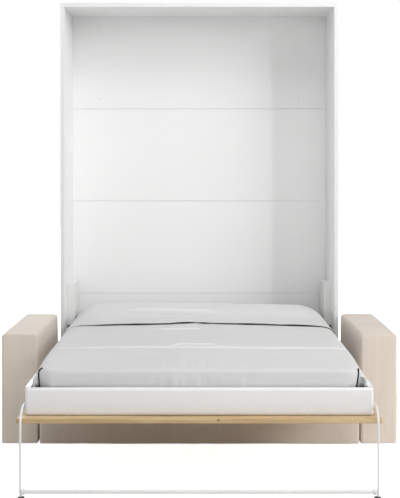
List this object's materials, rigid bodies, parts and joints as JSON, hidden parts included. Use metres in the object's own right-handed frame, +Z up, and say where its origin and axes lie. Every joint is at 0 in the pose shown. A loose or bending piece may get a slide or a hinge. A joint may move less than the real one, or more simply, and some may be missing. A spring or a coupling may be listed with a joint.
{
  "type": "wall bed with sofa",
  "caption": "Fold-down wall bed in a tall open cabinet, with gas springs, a folding foot frame, a made-up mattress and a low sofa in front of the cabinet.",
  "frame": {"origin": "on the floor under the middle of the whole with the bed down", "axes": "+Z up, the cabinet opens towards -Y, +X to the right seen from the front"},
  "size_m": [1.9612, 2.255, 2.305],
  "materials": {
    "white_board": "satin white laminate",
    "oak_veneer": "matt oiled oak",
    "birch": "matt",
    "white_plastic": "satin",
    "black_rubber": "matt",
    "zinc_steel": "zinc plated",
    "black_steel": "semi gloss black",
    "white_steel": "powder coated",
    "corduroy": "fine ribbed velour",
    "webbing": "woven elastic",
    "ticking": "woven",
    "bed_linen": "plain weave cotton"
  },
  "bodies": {
    "cabinet": {"side_panel_left": "white_board", "side_panel_right": "white_board", "top_panel": "white_board", "base_panel": "white_board", "plinth": "white_board", "back_board_1": "white_board", "back_board_2": "white_board", "back_board_3": "white_board", "back_board_4": "white_board", "back_joint_strips": "white_board", "wall_screw_caps": "white_plastic", "cabinet_glides": "black_rubber", "cabinet_screws": "zinc_steel", "pivot_plate_left": "zinc_steel", "pivot_plate_right": "zinc_steel", "gas_mount_left": "zinc_steel", "gas_mount_right": "zinc_steel", "gas_cover_left": "white_plastic", "gas_cover_right": "white_plastic", "sofa_arm_left": "corduroy", "sofa_arm_right": "corduroy", "arm_frame_left": "birch", "arm_frame_right": "birch", "seat_frame": "birch", "seat_front": "corduroy", "seat_straps": "webbing", "seat_cushion_left": "corduroy", "seat_cushion_right": "corduroy", "sofa_hardware": "zinc_steel"},
    "bed": {"front_board_1": "oak_veneer", "front_board_2": "oak_veneer", "front_board_3": "oak_veneer", "front_board_4": "oak_veneer", "panel_battens": "birch", "frame_side_left": "white_board", "frame_side_right": "white_board", "foot_board": "white_board", "head_board": "white_board", "ledger_left": "birch", "ledger_right": "birch", "centre_beam": "birch", "slats": "birch", "slat_caps": "black_rubber", "corner_brackets": "zinc_steel", "hinge_plate_left": "zinc_steel", "hinge_plate_right": "zinc_steel", "mattress": "ticking", "duvet": "bed_linen", "turned_down_layer": "bed_linen", "pillow_left": "bed_linen", "pillow_right": "bed_linen", "foot_bolts": "zinc_steel"},
    "foot_frame": {"foot_arm_left": "white_steel", "foot_arm_right": "white_steel", "foot_crossbar": "white_steel", "foot_pads": "black_rubber"},
    "gas_cylinder_left": {"gas_cylinder_left": "black_steel"},
    "gas_rod_left": {"gas_rod_left": "zinc_steel"},
    "gas_cylinder_right": {"gas_cylinder_right": "black_steel"},
    "gas_rod_right": {"gas_rod_right": "zinc_steel"}
  },
  "joints": [
    {"name": "bed_fold", "type": "hinge", "parent": "cabinet", "child": "bed", "pos_m": [0, 0.7645, 0.415], "axis": [-1, 0, 0], "range_deg": [0, 90]},
    {"name": "foot_fold", "type": "hinge", "parent": "bed", "child": "foot_frame", "pos_m": [0, -0.9375, 0.375], "axis": [-1, 0, 0], "range_deg": [0, 195]},
    {"name": "gas_turn_left", "type": "hinge", "parent": "bed", "child": "gas_rod_left", "pos_m": [-0.75, 0.83247, 0.4467], "axis": [1, 0, 0], "range_deg": [0, 92.18]},
    {"name": "gas_stroke_left", "type": "slide", "parent": "gas_rod_left", "child": "gas_cylinder_left", "axis": [0, 0.4635, 0.8861], "range_m": [0, 0.1054]},
    {"name": "gas_turn_right", "type": "hinge", "parent": "bed", "child": "gas_rod_right", "pos_m": [0.75, 0.83247, 0.4467], "axis": [1, 0, 0], "range_deg": [0, 92.18]},
    {"name": "gas_stroke_right", "type": "slide", "parent": "gas_rod_right", "child": "gas_cylinder_right", "axis": [0, 0.4635, 0.8861], "range_m": [0, 0.1054]}
  ],
  "couplings": [
    {"joint": "foot_fold", "follows": "bed_fold", "ratio": 2.1666},
    {"joint": "gas_turn_left", "follows": "bed_fold", "ratio": 1.0243},
    {"joint": "gas_stroke_left", "follows": "bed_fold", "m_per_rad": 0.067099},
    {"joint": "gas_turn_right", "follows": "bed_fold", "ratio": 1.0243},
    {"joint": "gas_stroke_right", "follows": "bed_fold", "m_per_rad": 0.067099}
  ]
}
